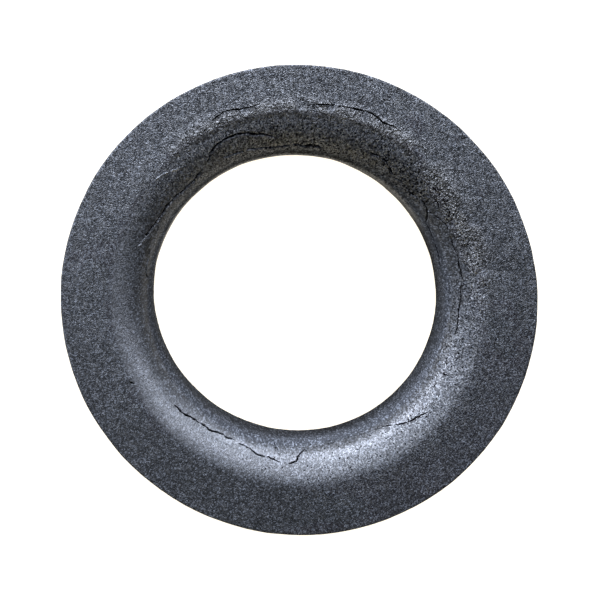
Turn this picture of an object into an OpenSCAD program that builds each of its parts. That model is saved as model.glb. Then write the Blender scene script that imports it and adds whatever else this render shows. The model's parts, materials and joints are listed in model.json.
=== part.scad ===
// Toilet flange gasket: one moulded ring of closed-cell sponge rubber. The flat underside lies on the
// outlet flange, the flat land on top is pressed by the foot of the bowl, and the rounded mouth leads
// the bowl's outlet into the bore. Origin at the middle of the underside, +Z up through the bore.

/* [Ring] */
// Outside diameter of the ring
outer_d = 130; // [112:0.5:170]
// Height of the ring before it is squeezed
height = 25; // [16:0.1:45]

/* [Bore and mouth] */
// Diameter of the straight bore at the foot of the mouth
bore_d = 81; // [50:0.1:98]
// Radius of the rounded mouth, from the land on top down to the bore
mouth_r = 12; // [3:0.1:22]

/* [Edges] */
// Radius of the outer edge of the land on top
land_edge_r = 0.5; // [0.2:0.1:5]
// Radius of the outer edge of the underside
foot_edge_r = 0.5; // [0.2:0.1:5]
// Radius of the edge where the bore meets the underside
bore_edge_r = 0.5; // [0.2:0.1:5]

/* [Hidden] */
$fn = 180;
rubber_colour = "#4d525b";
outer_r = outer_d / 2;
bore_r = bore_d / 2;
wall = outer_r - bore_r;

// What a rounding takes off a square corner of the section. Into points from the corner to the material
module rounding(corner, into, r) {
    difference() {
        translate(corner) square(2 * r, center = true);
        translate(corner + r * into) circle(r);
    }
}

// Half section of the ring: X is the distance from the axis and Y is the height
module section() {
    difference() {
        translate([bore_r, 0]) square([wall, height]);
        rounding([bore_r, height], [1, -1], mouth_r);
        rounding([outer_r, height], [-1, -1], land_edge_r);
        rounding([outer_r, 0], [-1, 1], foot_edge_r);
        rounding([bore_r, 0], [1, 1], bore_edge_r);
    }
}

module gasket() {
    color(rubber_colour) rotate_extrude() section();
}

gasket();
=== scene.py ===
"""Looks of the toilet flange gasket: one ring of sponge rubber, with splits in the skin of its mouth."""

import json
import math
from collections import namedtuple

import bmesh
import bpy
import numpy as np
from mathutils import Matrix, Vector, kdtree, noise
from mathutils.bvhtree import BVHTree


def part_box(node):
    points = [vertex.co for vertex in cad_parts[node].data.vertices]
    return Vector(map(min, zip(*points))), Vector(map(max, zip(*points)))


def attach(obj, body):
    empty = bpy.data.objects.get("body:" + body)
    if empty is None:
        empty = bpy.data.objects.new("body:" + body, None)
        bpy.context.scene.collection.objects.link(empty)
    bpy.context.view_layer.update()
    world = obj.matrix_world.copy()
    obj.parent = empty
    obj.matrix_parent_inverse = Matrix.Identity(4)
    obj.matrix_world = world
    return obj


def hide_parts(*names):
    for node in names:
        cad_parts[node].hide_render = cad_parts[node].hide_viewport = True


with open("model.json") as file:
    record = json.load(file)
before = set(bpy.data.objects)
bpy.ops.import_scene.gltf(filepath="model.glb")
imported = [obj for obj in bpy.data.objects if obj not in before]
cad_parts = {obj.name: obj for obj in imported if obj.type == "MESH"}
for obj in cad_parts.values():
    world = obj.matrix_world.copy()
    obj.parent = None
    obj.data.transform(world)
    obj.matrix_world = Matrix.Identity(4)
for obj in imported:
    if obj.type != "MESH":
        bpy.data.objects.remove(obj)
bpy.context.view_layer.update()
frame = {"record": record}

# Sizes of the section, in millimetres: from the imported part, but for the radius of its edges
MM = 0.001
low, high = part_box("gasket")
bore = next(m for m in frame["record"]["mounts"] if m["name"] == "outlet_bore")
HEIGHT = high.z / MM
OUTER_R = (high.x - low.x) / 2 / MM
BORE_R = bore["dims"]["r_mm"]
EDGE_R = 0.5
MOUTH_R = HEIGHT - EDGE_R - bore["dims"]["length_mm"]
SHOULDER_R = BORE_R + MOUTH_R
MOUTH_FOOT = HEIGHT - MOUTH_R

# The soft ring lies a little out of round: half the difference of its long and short radius, and its turn
OVAL = 0.7
OVAL_TURN = math.radians(-34)

# The mouth is a little wider on one side: what its radius gains there, and the turn of the wide side
MOUTH_LEAN = 0.8
MOUTH_TURN = math.radians(140)

# Sides of the ring where its skin differs, or where light and shade are painted on it, as angles round the
# axis from +X
# Crumbly, torn edge between land and mouth, and coarse grain
CRUMB_TURN = math.radians(70)
# Crumbs that reach into the mouth
EAST_TURN = math.radians(10)
# Skin full of pits
PIT_TURN = math.radians(65)
# Mouth with the most polish and painted highlight, and the east side, which has a little more
POLISH_HIGHLIGHT_TURN = math.radians(235)
EAST_POLISH_HIGHLIGHT_TURN = math.radians(0)
# Polish and painted highlight without the brighter painted band near the land
PLAIN_TURN = math.radians(265)
# Lower mouth with painted shade over its polish and highlight, and the spot with the most painted shade
PAINTED_SHADE_TURN = math.radians(295)
PAINTED_SHADE_SPOT_TURN = math.radians(304)
# Mouth whose painted highlight reaches further down, with a coarser grain on the land near it
LOW_HIGHLIGHT_AND_GRIT_TURN = math.radians(310)
# Bore wall that is less dull at the top, a painted highlight on that side
RIM_HIGHLIGHT_TURN = math.radians(100)
# Small smooth patch low in the mouth, and the smooth side of the mouth
PATCH_TURN = math.radians(25)
SMOOTH_TURN = math.radians(200)
# Land with the most painted sheen, on the side towards the lamps
PAINTED_SHEEN_TURN = math.radians(125)

# Kinds of skin, and where sheen, highlight and shade are painted, kept on the mesh as shares from 0 to 1,
# and up to 3 for polish and highlight, which the material reads
SHARES = ("skin", "wall", "crumb", "grit", "pitted", "polish_and_highlight", "sleek", "painted_sheen", "split")

# Spacing of the mesh, in millimetres, before the top is halved once and the splits twice more
COLUMNS = 288
TOP_STEP = 0.86
SIDE_STEP = 1.5
SPLIT_REACH = (0.9, 0.45)

# Heights on the surface, in millimetres: wide and narrow lumps, grain, crumbs, torn step, lips of the splits
# and slow waves of the walls
WIDE_LUMP = 0.07
LUMP = 0.035
GRAIN = 0.05
CRUMB = 0.10
TORN_STEP = 0.24
LIP = 0.02
WAVY_WALL = 0.12

# The camera, in millimetres: it stands up and to the left of the ring's axis and looks almost straight down
CAMERA_PLACE = Vector((-30.3, 54.0, 424.4))
CAMERA_AIM = Vector((-0.54, 1.31, 24.4))
LENS = 88.98
SENSOR = 36.0
FRAME_PX = 600

# Wide, low soft boxes, in degrees round the axis from +X and down from overhead, and in watts
SKY = (0.77, 0.84, 1.0)
SoftBox = namedtuple("SoftBox", "turn lean power colour", defaults=[SKY])
SOFT_BOXES = {
    "window_main": SoftBox(120, 81, 21.6),
    "window_right": SoftBox(60, 86, 13.5),
    "window_middle": SoftBox(90, 79, 10.5),
    "window_left": SoftBox(150, 76, 11.4),
    "east_high": SoftBox(30, 48, 4.1),
    "north_east_high": SoftBox(60, 48, 1.6),
    "north_high": SoftBox(90, 35, 5.4),
    "overhead_north": SoftBox(90, 15, 0.7),
    "overhead_west": SoftBox(180, 15, 1.2),
    "south_fill": SoftBox(270, 80, 2.4, (1.0, 0.9, 0.6)),
}
BOX_REACH = 600
BOX_WIDTH = 320
BOX_TALL = 50
WORLD_GLOW = 0.01

# The floor: half its width in metres, its colour, and the colour and strength of its glow
FLOOR_HALF = 2.0
FLOOR_COLOUR = (0.08, 0.08, 0.075, 1.0)
FLOOR_LIGHT = (1.0, 0.93, 0.80, 1.0)
FLOOR_GLOW = 1.22
FLOOR_ROUGH = 0.9

# The sponge: its colour and that of its crumbs, how rough and shiny its parts are, and its painted sheen,
# highlight and shade
RUBBER = (0.0078, 0.0083, 0.0092, 1.0)
CRUMB_RUBBER = (0.0105, 0.0101, 0.0094, 1.0)
LAND_ROUGH = 0.66
SKIN_ROUGH = 0.44
WALL_ROUGH = 0.9
SHINE = 0.23
PAINTED_SHEEN_LEAST = 0.52
PAINTED_SHEEN_MOST = 0.85
WALL_SHADE_SHINE = 0.1
POLISH_HIGHLIGHT_MOST = 3.0
POLISH_HIGHLIGHT_SHINE = 3.7
BUMP_DISTANCE = 0.00016

# Scales of the sponge's noises and cells, per metre, and how its fine grain is drawn out in height
FINE_SCALE = 3400.0
COARSE_SCALE = 1500.0
PATCH_SCALE = 90.0
SPECK_SCALE = 3200.0
PORE_SCALE = 1000.0
FLECK_SCALE = 1900.0
CURL_SCALE = 1000.0
TUFT_SCALE = 700.0
DRAWN_OUT = (1.0, 1.0, 0.35)

# Splits, in millimetres: spacing of the points along them, length over which an end tapers, least half
# width, half width below which they have closed, and depth at which they are painted fully dark, as shade
SPLIT_STEP = 0.06
SPLIT_TAPER = 1.5
SPLIT_LEAST = 0.13
SPLIT_SHUT = 0.05
SPLIT_FULL_SHADE = 0.5
# How far apart the splits read the noise, and its seed, so that each run makes the same ragged lines
SPLIT_APART = 7.3
JOG_SEED = 3

# Splits and pits in the skin: width and depth in millimetres, how much of the length has closed up again,
# and the pixels of the photograph that each runs through. A depth below zero is a raised crease.
Split = namedtuple("Split", "width depth closed points")
SPLITS = {
    "north_arch": Split(0.75, 1.6, 0.0, [
        (207.5, 163), (211.7, 152.5), (216.7, 145.8), (225, 140), (231.7, 136.7), (240, 134.2),
        (250, 133.7), (256.7, 134.5), (265, 134.4), (270, 136.3), (277, 138.5)]),
    "north_arch_gape": Split(1.6, 1.8, 0.0, [(247, 133.8), (256.7, 134.6), (266, 134.6)]),
    "north_lip": Split(0.9, 1.4, 0.1, [
        (223, 158), (230, 155.8), (240, 152.5), (248, 150.3), (256.7, 149.2), (265, 148.3), (273, 147.8),
        (281.7, 147), (290, 145.8), (296.7, 145), (305, 147), (313, 146.8), (321.7, 148.5)]),
    "north_lip_gape": Split(2.0, 1.6, 0.0, [(303, 146.6), (313, 146.8), (322, 148.5)]),
    "north_shoulder_left": Split(0.45, 0.7, 0.35, [
        (211.7, 121.7), (220, 115), (228, 110.8), (240, 109), (246.7, 108), (253, 106.3), (260, 104)]),
    "north_shoulder_right": Split(0.4, 0.8, 0.35, [
        (306.7, 105.8), (316.7, 104.7), (328, 104.7), (340, 105.8), (353, 108.7)]),
    "north_shoulder_end": Split(0.55, 0.9, 0.15, [
        (350, 108), (361.7, 110.8), (366.7, 111.7), (375, 115.8), (383, 122.5), (390, 125),
        (397, 128.5)]),
    "north_west": Split(1.05, 1.5, 0.0, [
        (203, 169), (197.5, 175.8), (193, 181.7), (188, 185.8), (182.5, 191.7), (179, 194), (173, 200),
        (166.7, 206.7), (161.7, 215), (156.7, 221.7), (151.7, 228), (144, 239)]),
    "north_west_crease": Split(0.6, -0.2, 0.0, [(147, 236), (141.5, 243), (136.5, 248.5)]),
    "north_west_fold": Split(0.6, -0.2, 0.2, [
        (153.5, 182), (160, 176.5), (168, 172.5), (176, 169.5), (184, 167)]),
    "north_west_fork": Split(0.5, 0.9, 0.0, [(160, 219), (158.5, 226), (157, 231)]),
    "north_west_gape": Split(1.7, 1.5, 0.0, [(184, 190.3), (179, 194)]),
    "west_pits": Split(0.7, 0.8, 0.5, [(150, 248), (148.5, 256), (146.5, 266), (146, 273), (149, 280)]),
    "north_east_pits": Split(1.1, 0.9, 0.45, [
        (365, 150), (370, 153), (379, 158), (387, 163.5), (393, 177), (404, 184)]),
    "north_east_gape": Split(1.2, 1.2, 0.2, [(405, 187), (410, 193), (417, 198)]),
    "east_fork": Split(0.65, 1.2, 0.0, [
        (419, 199.5), (423, 203), (426, 209), (426.7, 215), (425.5, 223)]),
    "east_twig": Split(0.5, 0.9, 0.0, [(424, 206.5), (425, 203.5), (428, 200.5)]),
    "east_curl": Split(0.6, 0.8, 0.0, [(431, 204), (435, 202), (438.5, 204.5), (438, 209)]),
    "east_trunk": Split(0.6, 1.0, 0.0, [(425, 208), (431.7, 214), (438, 218.5), (443, 222.5)]),
    "east_trunk_end": Split(0.6, 1.2, 0.0, [(441, 220.5), (445, 225), (448, 231)]),
    "east_line": Split(0.45, 1.0, 0.2, [
        (450, 236), (453, 246.7), (457.5, 256.7), (459, 266.7), (461.7, 278), (460.5, 290), (460.8, 298),
        (458.5, 312), (457.5, 323), (455, 336)]),
    "east_branch": Split(0.85, 1.1, 0.3, [
        (425.5, 223), (429, 230), (433, 240), (436, 248), (439, 260), (440, 269)]),
    "south_east": Split(0.5, 1.0, 0.0, [(395, 425), (406, 422.7), (417.6, 417), (427, 412.5)]),
    "south_east_line": Split(0.3, 0.9, 0.0, [
        (326, 445), (338, 441), (350, 437), (363, 433.5), (375.5, 429), (386, 426), (393, 425)]),
    "south_east_wrinkle": Split(0.45, 0.7, 0.0, [(445.5, 364), (446.5, 360.5), (447.5, 357)]),
    "south_east_crook": Split(0.45, 0.7, 0.1, [(441, 373.5), (445, 374.8), (448.5, 376.2)]),
    "south_east_nick": Split(0.4, 0.6, 0.0, [(434, 388.5), (435, 385), (436.2, 382)]),
    "east_nick": Split(0.4, 0.6, 0.0, [(455.5, 361.5), (457, 359), (459.5, 356.5)]),
    "west_nick": Split(0.9, 0.8, 0.0, [(129, 382), (131.5, 383), (134, 384)]),
    "south_west_nick": Split(0.6, 0.8, 0.2, [(168.5, 374), (171, 379), (174, 385.5)]),
    "south_west": Split(0.55, 1.6, 0.0, [
        (173, 404), (179, 409), (184, 414), (193.5, 418.6), (200, 423), (206, 427), (212, 431),
        (223, 434), (226, 437), (234, 439.5)]),
    "south": Split(0.42, 1.5, 0.0, [
        (238, 442.5), (250, 449), (257, 454.5), (268, 457), (272, 459), (280, 462)]),
    "south_hook": Split(0.48, 1.5, 0.0, [(288, 463.8), (296, 461), (299.5, 454.5), (305.5, 447.5)]),
    "south_tick": Split(0.45, 0.8, 0.0, [(273.5, 442), (278.5, 451)]),
}


def mouth_radius(angle):
    """Radius of the rounded mouth at an angle round the axis."""
    return MOUTH_R + MOUTH_LEAN * np.cos(angle - MOUTH_TURN)


def section_places(mouth_r):
    """Points (distance from the axis, height) round the closed section, from the land's outer edge on."""
    def rows(length, step):
        return max(3, round(length / step))

    def run(start, end, count):
        return [tuple(np.add(start, np.subtract(end, start) * k / count)) for k in range(count)]

    def arc(centre, radius, first, last, count):
        turns = [math.radians(first + (last - first) * k / count) for k in range(count)]
        return [(centre[0] + radius * math.cos(t), centre[1] + radius * math.sin(t)) for t in turns]

    edge = rows(EDGE_R * math.pi / 2, TOP_STEP)
    shoulder = BORE_R + mouth_r
    foot = HEIGHT - mouth_r
    land = run((OUTER_R - EDGE_R, HEIGHT), (shoulder, HEIGHT), rows(OUTER_R - SHOULDER_R, TOP_STEP))
    mouth = arc((shoulder, foot), mouth_r, 90, 180, rows(MOUTH_R * math.pi / 2, TOP_STEP))
    wall = run((BORE_R, foot), (BORE_R, EDGE_R), rows(MOUTH_FOOT, TOP_STEP))
    bore_edge = arc((BORE_R + EDGE_R, EDGE_R), EDGE_R, 180, 270, edge)
    under = run((BORE_R + EDGE_R, 0), (OUTER_R - EDGE_R, 0), rows(OUTER_R - BORE_R, SIDE_STEP))
    foot_edge = arc((OUTER_R - EDGE_R, EDGE_R), EDGE_R, -90, 0, edge)
    side = run((OUTER_R, EDGE_R), (OUTER_R, HEIGHT - EDGE_R), rows(HEIGHT, SIDE_STEP))
    land_edge = arc((OUTER_R - EDGE_R, HEIGHT - EDGE_R), EDGE_R, 0, 90, edge)
    return land + mouth + wall + bore_edge + under + foot_edge + side + land_edge


def on_section(radius, height, angle):
    """The nearest places on the section to the given ones, and the outward direction there."""
    mouth_r = mouth_radius(angle)
    corners = (
        (BORE_R + mouth_r, HEIGHT - mouth_r, mouth_r, -1, 1),
        (OUTER_R - EDGE_R, HEIGHT - EDGE_R, EDGE_R, 1, 1),
        (OUTER_R - EDGE_R, EDGE_R, EDGE_R, 1, -1),
        (BORE_R + EDGE_R, EDGE_R, EDGE_R, -1, -1),
    )
    gaps = np.stack([HEIGHT - height, height, OUTER_R - radius, radius - BORE_R])
    side = np.abs(gaps).argmin(0)
    out_r = np.choose(side, [0.0, 0.0, 1.0, -1.0])
    out_z = np.choose(side, [1.0, -1.0, 0.0, 0.0])
    new_r = np.choose(side, [radius, radius, OUTER_R, BORE_R])
    new_z = np.choose(side, [HEIGHT, 0.0, height, height])
    for centre_r, centre_z, bend, to_r, to_z in corners:
        there = ((radius - centre_r) * to_r > 0) & ((height - centre_z) * to_z > 0)
        away_r = radius - centre_r
        away_z = height - centre_z
        far = np.maximum(np.hypot(away_r, away_z), 1e-9)
        out_r = np.where(there, away_r / far, out_r)
        out_z = np.where(there, away_z / far, out_z)
        new_r = np.where(there, centre_r + bend * away_r / far, new_r)
        new_z = np.where(there, centre_z + bend * away_z / far, new_z)
    return new_r, new_z, out_r, out_z


def oval_shift(angle):
    """How far the soft ring's walls stand out from a true circle at an angle round the axis."""
    return OVAL * np.cos(2 * (angle - OVAL_TURN))


def camera_axes():
    """Right, up and back directions of the camera, with the top of the picture towards +Y."""
    back = (CAMERA_PLACE - CAMERA_AIM).normalized()
    right = Vector((0, 1, 0)).cross(back).normalized()
    return right, back.cross(right), back


def add_camera():
    right, up, back = camera_axes()
    data = bpy.data.cameras.new("camera")
    data.lens = LENS
    data.sensor_width = SENSOR
    data.clip_start = 0.01
    camera = bpy.data.objects.new("camera", data)
    turned = Matrix((right, up, back)).transposed().to_4x4()
    camera.matrix_world = Matrix.Translation(CAMERA_PLACE * MM) @ turned
    bpy.context.scene.collection.objects.link(camera)
    bpy.context.scene.camera = camera


def ring_grid():
    """The plain ring as a bmesh of quads, in millimetres."""
    mesh = bmesh.new()
    rows = []
    for column in range(COLUMNS):
        angle = 2 * math.pi * column / COLUMNS
        places = section_places(mouth_radius(angle))
        rows.append([mesh.verts.new((r * math.cos(angle), r * math.sin(angle), z)) for r, z in places])
    for column, here in enumerate(rows):
        after = rows[(column + 1) % COLUMNS]
        for k in range(len(places)):
            m = (k + 1) % len(places)
            mesh.faces.new((here[k], here[m], after[m], after[k]))
    bmesh.ops.recalc_face_normals(mesh, faces=mesh.faces)
    return mesh


def photo_points(mesh, pixels):
    """Points on the plain ring that the camera sees at the given pixels, before it is out of round."""
    right, up, back = camera_axes()
    focal = LENS / SENSOR * FRAME_PX
    lying = mesh.copy()
    for v in lying.verts:
        angle = math.atan2(v.co.y, v.co.x)
        shift = oval_shift(angle)
        v.co.x += shift * math.cos(angle)
        v.co.y += shift * math.sin(angle)
    tree = BVHTree.FromBMesh(lying)
    found = []
    for x, y in pixels:
        ray = right * (x - FRAME_PX / 2) / focal - up * (y - FRAME_PX / 2) / focal - back
        hit = tree.ray_cast(CAMERA_PLACE, ray.normalized())[0]
        angle = math.atan2(hit.y, hit.x)
        shift = oval_shift(angle)
        found.append(hit - Vector((shift * math.cos(angle), shift * math.sin(angle), 0)))
    lying.free()
    return found


def smooth_line(points, step):
    """Points about a step apart along a soft curve through the given ones."""
    line = []
    ends = [2 * points[0] - points[1], *points, 2 * points[-1] - points[-2]]
    for a, b, c, d in zip(ends, ends[1:], ends[2:], ends[3:]):
        count = max(1, round((c - b).length / step))
        for k in range(count):
            t = k / count
            line.append(0.5 * (2 * b + (c - a) * t + (2 * a - 5 * b + 4 * c - d) * t**2
                               + (3 * b - a - 3 * c + d) * t**3))
    line.append(points[-1])
    return line


def polar(place):
    """Angle round the axis and distance from it of each place."""
    return np.arctan2(place[:, 1], place[:, 0]), np.hypot(place[:, 0], place[:, 1])


def split_samples(mesh):
    """Close points along every split, each with its half width and depth there."""
    noise.seed_set(JOG_SEED)
    samples = []
    for number, split in enumerate(SPLITS.values()):
        line = smooth_line(photo_points(mesh, split.points), SPLIT_STEP)
        for k, point in enumerate(line):
            along = Vector((k * SPLIT_STEP, SPLIT_APART * number, 0))
            to_end = min(k, len(line) - 1 - k) * SPLIT_STEP
            taper = min(1.0, to_end / SPLIT_TAPER) ** 0.5
            ragged = 0.8 + 0.45 * noise.noise(along * 0.9) + 0.25 * noise.noise(along * 3.1)
            still_open = min(1.0, max(0.0, 0.5 + 3 * (noise.noise(along * 0.55) + 0.5 - split.closed)))
            jog = 0.2 * noise.noise_vector(along * 0.8) + 0.1 * noise.noise_vector(along * 3.0)
            half = 0.5 * split.width * taper * ragged * still_open
            if half > SPLIT_SHUT:
                deep = split.depth * taper * min(1.0, ragged + 0.2) * still_open
                samples.append((point + jog, max(SPLIT_LEAST, half), deep))
    place = np.array([point for point, _, _ in samples])
    angle, away = polar(place)
    radius, height, _, _ = on_section(away, place[:, 2], angle)
    place = np.stack([radius * np.cos(angle), radius * np.sin(angle), height], 1)
    return [(Vector(point), half, deep) for point, (_, half, deep) in zip(place, samples)]


def refine(mesh, chosen):
    """Halves every edge of the chosen faces and puts the new points on the section."""
    edges = dict.fromkeys(e for f in chosen for e in f.edges)
    bmesh.ops.subdivide_edges(mesh, edges=list(edges), cuts=1, use_grid_fill=True, use_single_edge=True)
    place = np.array([v.co for v in mesh.verts])
    angle, away = polar(place)
    radius, height, _, _ = on_section(away, place[:, 2], angle)
    for v, a, r, z in zip(mesh.verts, angle, radius, height):
        v.co = (r * math.cos(a), r * math.sin(a), z)


def smooth_step(value, start, end):
    """0 up to the start, 1 from the end on, and a soft rise between them."""
    share = np.clip((value - start) / (end - start), 0, 1)
    return share * share * (3 - 2 * share)


def facing(angle, turn, start, end):
    """1 on the side at the turn, and 0 where the cosine of the angle from it is below the start."""
    return smooth_step(np.cos(angle - turn), start, end)


def side_share(angle, turn):
    """1 on the side of the ring at the turn and 0 on the side across from it."""
    return 0.5 + 0.5 * np.cos(angle - turn)


def bell(value, middle, width):
    """1 at the middle, falling off softly over about the width."""
    return np.exp(-((value - middle) / width) ** 2)


def noise_at(places, scale):
    """Soft noise from -1 to 1 at each place, with bumps about 1 / scale millimetres apart."""
    return np.array([noise.noise(Vector(p) * scale) for p in places])


def skin_shares(place, angle, inside, above):
    """The kinds of skin and the painted sheen and highlight at each place, by its way in from the land and
    its height above the mouth's foot.
    """
    drift = noise_at(place, 0.35)
    skin = smooth_step(above, -4, 4) * smooth_step(inside + 0.6 * drift, 0.0, 2.4)

    east = facing(angle, EAST_TURN, 0.6, 0.95)
    crumb = bell(inside, 3.0 * east - 1.0, 2.0 + 1.8 * east) * (above > 0)
    crumb *= facing(angle, CRUMB_TURN, 0.2, 0.75) * smooth_step(noise_at(place, 0.3), -0.5, 0.1)

    grit = side_share(angle, CRUMB_TURN)
    grit += 0.4 * bell(inside, -1.5, 3) * facing(angle, LOW_HIGHLIGHT_AND_GRIT_TURN, 0.6, 0.95)

    low = smooth_step(inside, 5.5, 8.5)
    # Partly polish, partly painted highlight: more shine on one side, a painted band near the land, and
    # painted shade low in the mouth on another side
    side_polish_and_highlight = side_share(angle, POLISH_HIGHLIGHT_TURN) + 0.12 * facing(angle, EAST_POLISH_HIGHLIGHT_TURN, 0.7, 0.95)
    side_polish_and_highlight *= 1 + 1.4 * bell(inside, 3.2, 2.2) * (1 - facing(angle, PLAIN_TURN, 0.7, 0.95))
    side_polish_and_highlight *= 1 - 0.65 * low * facing(angle, PAINTED_SHADE_TURN, 0.6, 0.95)
    side_polish_and_highlight *= 1 - 0.75 * low * facing(angle, PAINTED_SHADE_SPOT_TURN, 0.93, 0.99)

    patch = facing(angle, PATCH_TURN, 0.95, 0.98) * smooth_step(inside, 5.0, 7.0)
    return {
        "skin": skin,
        "crumb": crumb,
        "grit": grit,
        "pitted": facing(angle, PIT_TURN, 0.5, 0.9) * smooth_step(inside, 2, 4),
        "polish_and_highlight": skin * side_polish_and_highlight * smooth_step(inside + 0.4 * drift, 0.9, 2.3),
        "sleek": np.maximum(skin * facing(angle, SMOOTH_TURN, 0.3, 0.9), patch),
        # Painted sheen: the land shines more on the side towards the lamps
        "painted_sheen": side_share(angle, PAINTED_SHEEN_TURN),
    }


def wall_shade_share(angle, above, radius):
    """Where the shine is cut as painted shade: the lower mouth and the dull wall of the bore, with the
    underside near it.
    """
    lower = 2.5 * facing(angle, LOW_HIGHLIGHT_AND_GRIT_TURN, 0.5, 0.95)
    wall = smooth_step(-above - lower, -9, -4) * (radius < OUTER_R - 5)
    return wall * (1 - 0.75 * smooth_step(-above, -5, -1.5) * facing(angle, RIM_HIGHLIGHT_TURN, 0.2, 0.7))


def surface_relief(place, angle, inside, above, shares):
    """Height of the lumps, the grain, the crumbs and the torn step at each place, in millimetres."""
    relief = WIDE_LUMP * noise_at(place, 0.16) + LUMP * noise_at(place, 0.45)
    relief += GRAIN * (1 - 0.6 * shares["skin"]) * noise_at(place, 1.1)
    relief += CRUMB * shares["crumb"] * noise_at(place, 1.25)
    torn = facing(angle, CRUMB_TURN, 0.3, 0.8) * smooth_step(inside, 0.2, 1.7) * smooth_step(above, -2, 6)
    return relief - TORN_STEP * torn


def split_relief(place, tree, samples):
    """Depth of the splits at each place and height of the low lips beside them, in millimetres."""
    depth = np.zeros(len(place))
    lip = np.zeros(len(place))
    for k, point in enumerate(place):
        _, index, gap = tree.find(point)
        _, half, deep = samples[index]
        if gap < half:
            depth[k] = deep * (1 - (gap / half) ** 2) ** 0.8
        lip[k] = LIP * math.exp(-((gap - 1.6 * half) / (0.9 * half)) ** 2)
    return depth, lip


def on_top(face):
    """Whether a face of the plain ring is on its land or in its mouth."""
    middle = face.calc_center_median()
    return middle.z > MOUTH_FOOT and middle.xy.length < OUTER_R - 0.2 * EDGE_R


def gasket_mesh():
    """The ring's final mesh in metres, with its splits, lumps and lie, and its kinds of skin by point."""
    mesh = ring_grid()
    samples = split_samples(mesh)
    tree = kdtree.KDTree(len(samples))
    for k, (point, _, _) in enumerate(samples):
        tree.insert(point, k)
    tree.balance()
    refine(mesh, [f for f in mesh.faces if on_top(f)])
    for reach in SPLIT_REACH:
        refine(mesh, [f for f in mesh.faces if tree.find(f.calc_center_median())[2] < reach])

    place = np.array([v.co for v in mesh.verts])
    angle, away = polar(place)
    radius, height, out_r, out_z = on_section(away, place[:, 2], angle)
    inside = BORE_R + mouth_radius(angle) - radius
    above = height - HEIGHT + mouth_radius(angle)
    shares = skin_shares(place, angle, inside, above)
    depth, lip = split_relief(place, tree, samples)
    relief = surface_relief(place, angle, inside, above, shares) + lip - depth
    shift = oval_shift(angle) + WAVY_WALL * noise_at(place * [1, 1, 0.3], 0.09)
    radius = radius + relief * out_r + shift
    height = np.maximum(height + relief * out_z, 0.0)
    for v, a, r, z in zip(mesh.verts, angle, radius, height):
        v.co = Vector((r * math.cos(a), r * math.sin(a), z)) * MM
    data = bpy.data.meshes.new("gasket_ring")
    mesh.to_mesh(data)
    mesh.free()
    data.polygons.foreach_set("use_smooth", [True] * len(data.polygons))

    # Painted shade: the shine is cut in the lower mouth and the bore, less so where highlights are painted
    shares["wall"] = wall_shade_share(angle, above, radius)
    # Splits painted dark by their depth, as shade
    shares["split"] = np.clip(depth / SPLIT_FULL_SHADE, 0, 1)
    for name in SHARES:
        kept = data.attributes.new(name, "FLOAT", "POINT")
        kept.data.foreach_set("value", shares[name].astype(np.float32))
    return data


class Nodes:
    """Short ways to add and join the nodes of one material."""

    def __init__(self, name):
        self.material = bpy.data.materials.new(name)
        self.material.use_nodes = True
        self.tree = self.material.node_tree
        self.shader = self.tree.nodes["Principled BSDF"]

    def set(self, socket, value):
        if isinstance(value, bpy.types.NodeSocket):
            self.tree.links.new(value, socket)
        else:
            socket.default_value = value

    def shade(self, name, value):
        self.set(self.shader.inputs[name], value)

    def add(self, kind, output, settings=None, **inputs):
        node = self.tree.nodes.new(kind)
        for key, value in (settings or {}).items():
            setattr(node, key, value)
        for key, value in inputs.items():
            self.set(node.inputs[key.replace("_", " ")], value)
        return node.outputs[output]

    def share(self, name):
        """A value that is kept on the points of the mesh."""
        return self.add("ShaderNodeAttribute", "Fac", {"attribute_name": name})

    def noise(self, vector, scale, detail, roughness=0.5):
        inputs = {"Vector": vector, "Scale": scale, "Detail": detail, "Roughness": roughness}
        return self.add("ShaderNodeTexNoise", "Fac", **inputs)

    def cells(self, vector, scale):
        """Distance from the middle of the nearest cell, and that cell's three random values."""
        distance = self.add("ShaderNodeTexVoronoi", "Distance", Vector=vector, Scale=scale)
        parts = self.add("ShaderNodeSeparateColor", "Red", Color=distance.node.outputs["Color"]).node
        return distance, parts.outputs["Red"], parts.outputs["Green"], parts.outputs["Blue"]

    def maths(self, operation, *values):
        node = self.tree.nodes.new("ShaderNodeMath")
        node.operation = operation
        for socket, value in zip(node.inputs, values):
            self.set(socket, value)
        return node.outputs[0]

    def times(self, first, *others):
        for other in others:
            first = self.maths("MULTIPLY", first, other)
        return first

    def remap(self, value, from_low, from_high, to_low, to_high):
        node = self.tree.nodes.new("ShaderNodeMapRange")
        for socket, x in zip(node.inputs, (value, from_low, from_high, to_low, to_high)):
            self.set(socket, x)
        return node.outputs[0]

    def fade(self, share, low, high):
        """From low to high as the share goes from 0 to 1."""
        return self.remap(share, 0.0, 1.0, low, high)

    def mix(self, share, first, second, blend="MIX"):
        node = self.tree.nodes.new("ShaderNodeMix")
        node.data_type = "RGBA"
        node.blend_type = blend
        self.set(node.inputs[0], share)
        self.set(node.inputs[6], first)
        self.set(node.inputs[7], second)
        return node.outputs[2]


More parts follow.
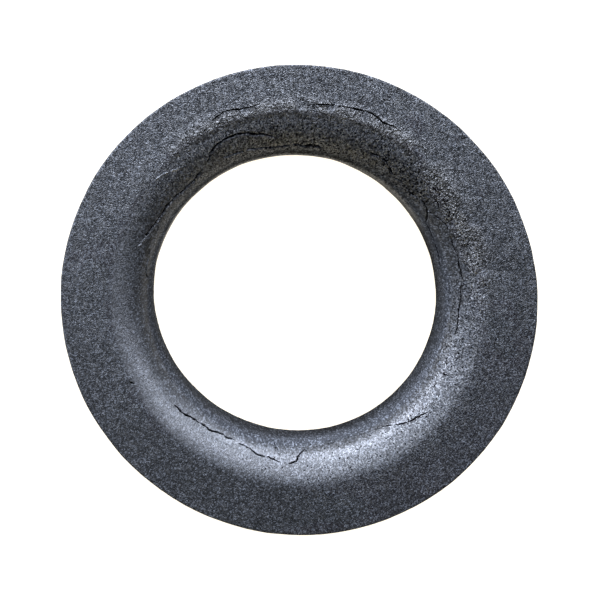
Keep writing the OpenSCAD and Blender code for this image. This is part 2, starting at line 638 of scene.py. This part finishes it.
def sponge_rubber():
    """Dark sponge: grainy on the land, a closer, pitted skin in the mouth and a dull wall in the bore, with
    painted light and shade.
    """
    n = Nodes("sponge_rubber")
    skin, wall, crumb, grit, pitted, polish_and_highlight, sleek, painted_sheen, split = (n.share(name) for name in SHARES)
    place = n.add("ShaderNodeTexCoord", "Object")
    drawn = n.add("ShaderNodeMapping", "Vector", Vector=place, Scale=DRAWN_OUT)
    fine = n.noise(drawn, FINE_SCALE, 1.0, 0.6)
    coarse = n.noise(place, COARSE_SCALE, 1.5, 0.6)
    patches = n.noise(place, PATCH_SCALE, 2.0)
    curls = n.noise(place, CURL_SCALE, 1.0)
    tufts = n.noise(place, TUFT_SCALE, 0.0)
    _, speck, gloss, _ = n.cells(drawn, SPECK_SCALE)
    pores, chosen, _, _ = n.cells(place, PORE_SCALE)
    flecks, _, _, bright = n.cells(drawn, FLECK_SCALE)

    # Pits in some of the pores of the skin and between the crumbs; pits and splits are painted dark, as
    # shade
    pores = n.maths("SUBTRACT", pores, n.times(pitted, 0.10))
    chosen = n.maths("ADD", chosen, n.times(pitted, 0.3))
    pit = n.times(n.remap(pores, 0.16, 0.30, 1.0, 0.0), n.remap(chosen, 0.45, 0.55, 0.0, 1.0))
    pit = n.times(pit, n.maths("MAXIMUM", skin, n.times(crumb, 0.6)), n.fade(sleek, 1.0, 0.35))
    unshaded = n.maths("SUBTRACT", 1.0, n.maths("MAXIMUM", pit, split))

    # Colour, with pale specks, paler on the wall, and darkened in pits and splits as painted shade
    tone = n.fade(n.maths("POWER", speck, 4.0), n.fade(wall, 0.2, 0.55), n.fade(wall, 4.6, 2.9))
    tone = n.times(tone, n.remap(patches, 0.3, 0.7, 0.85, 1.15))
    tone = n.times(tone, n.fade(unshaded, 0.15, 1.0), n.fade(wall, 1.0, 2.4))
    n.shade("Base Color", n.mix(1.0, n.mix(crumb, RUBBER, CRUMB_RUBBER), tone, "MULTIPLY"))

    # Shine, with bright flecks and curls on the land, cut as painted shade on the wall and in pits and
    # splits, and raised by side as painted sheen and highlight
    fleck = n.times(n.remap(bright, 0.88, 0.92, 0.0, 1.0), n.remap(flecks, 0.15, 0.42, 1.0, 0.0))
    curl = n.remap(n.maths("ABSOLUTE", n.maths("SUBTRACT", curls, 0.5)), 0.02, 0.08, 1.0, 0.0)
    curl = n.times(curl, n.remap(tufts, 0.5, 0.65, 0.0, 0.6))
    fleck = n.times(n.maths("MAXIMUM", fleck, curl), n.fade(skin, 0.45, 0.0))
    smooth = n.fade(sleek, 1.0, 0.5)
    uneven = n.times(n.fade(n.maths("POWER", gloss, 2.5), -0.11, 0.27), smooth)
    spread = n.times(n.fade(grit, 0.65, 1.6), n.fade(skin, 1.0, 1.2))
    shine = n.maths("ADD", n.maths("MULTIPLY_ADD", uneven, spread, SHINE), fleck)
    shine = n.times(shine, n.fade(wall, 1.0, WALL_SHADE_SHINE))
    shine = n.times(shine, n.remap(polish_and_highlight, 0.0, POLISH_HIGHLIGHT_MOST, 1.0, POLISH_HIGHLIGHT_SHINE))
    sealed = n.times(skin, n.maths("SUBTRACT", 1.0, crumb))
    # Painted sheen on the land, more on the side towards the lamps
    painted_land_sheen = n.fade(painted_sheen, PAINTED_SHEEN_LEAST, PAINTED_SHEEN_MOST)
    shine = n.times(shine, n.fade(crumb, 1.0, 1.2), n.fade(sealed, painted_land_sheen, 1.0))
    n.shade("Specular IOR Level", n.times(shine, unshaded))
    number = {"data_type": "FLOAT"}
    rough = n.add("ShaderNodeMix", "Result", number, Factor=sealed, A=LAND_ROUGH, B=SKIN_ROUGH)
    n.shade("Roughness", n.maths("MAXIMUM", rough, n.times(wall, WALL_ROUGH)))

    # Bumps of the grain, the crumbs and the pits
    height = n.times(fine, n.fade(skin, 1.35, 0.7), n.times(smooth, n.fade(grit, 0.5, 2.0)))
    height = n.maths("ADD", height, n.times(coarse, n.fade(crumb, 0.2, 9.0)))
    height = n.maths("SUBTRACT", height, n.times(pit, 0.3))
    bump = n.add("ShaderNodeBump", "Normal", Strength=1.0, Distance=BUMP_DISTANCE, Height=height)
    n.shade("Normal", bump)
    return n.material


def add_gasket():
    ring = bpy.data.objects.new("gasket_ring", gasket_mesh())
    bpy.context.scene.collection.objects.link(ring)
    ring.data.materials.append(sponge_rubber())
    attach(ring, "root")
    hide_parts("gasket")


def add_floor():
    """A wide pale floor that glows softly from below, so that the ring throws almost no shadow on it."""
    half = FLOOR_HALF
    data = bpy.data.meshes.new("floor")
    around = [(-half, -half, 0), (half, -half, 0), (half, half, 0), (-half, half, 0)]
    data.from_pydata(around, [], [(0, 1, 2, 3)])
    floor = bpy.data.objects.new("floor", data)
    bpy.context.scene.collection.objects.link(floor)
    n = Nodes("pale_floor")
    n.shade("Base Color", FLOOR_COLOUR)
    n.shade("Roughness", FLOOR_ROUGH)
    n.shade("Emission Color", FLOOR_LIGHT)
    n.shade("Emission Strength", FLOOR_GLOW)
    data.materials.append(n.material)


def add_light(name, box):
    """A soft box that faces the ring from its turn round the axis and its lean from overhead."""
    turn = math.radians(box.turn)
    lean = math.radians(box.lean)
    way = Vector((math.sin(lean) * math.cos(turn), math.sin(lean) * math.sin(turn), math.cos(lean)))
    data = bpy.data.lights.new(name, "AREA")
    data.shape = "RECTANGLE"
    data.size = BOX_WIDTH * MM
    data.size_y = BOX_TALL * MM
    data.energy = box.power
    data.color = box.colour
    light = bpy.data.objects.new(name, data)
    light.location = (way * BOX_REACH + Vector((0, 0, HEIGHT / 2))) * MM
    light.rotation_euler = way.to_track_quat("Z", "Y").to_euler()
    bpy.context.scene.collection.objects.link(light)


def add_lights():
    for name, box in SOFT_BOXES.items():
        add_light(name, box)
    world = bpy.data.worlds.new("studio")
    world.use_nodes = True
    background = world.node_tree.nodes["Background"]
    background.inputs["Color"].default_value = (*SKY, 1.0)
    background.inputs["Strength"].default_value = WORLD_GLOW
    bpy.context.scene.world = world
    bpy.context.scene.view_settings.view_transform = "Standard"


add_camera()
add_gasket()
add_floor()
add_lights()


def corners(box):
    return [list(corner) for corner in box]
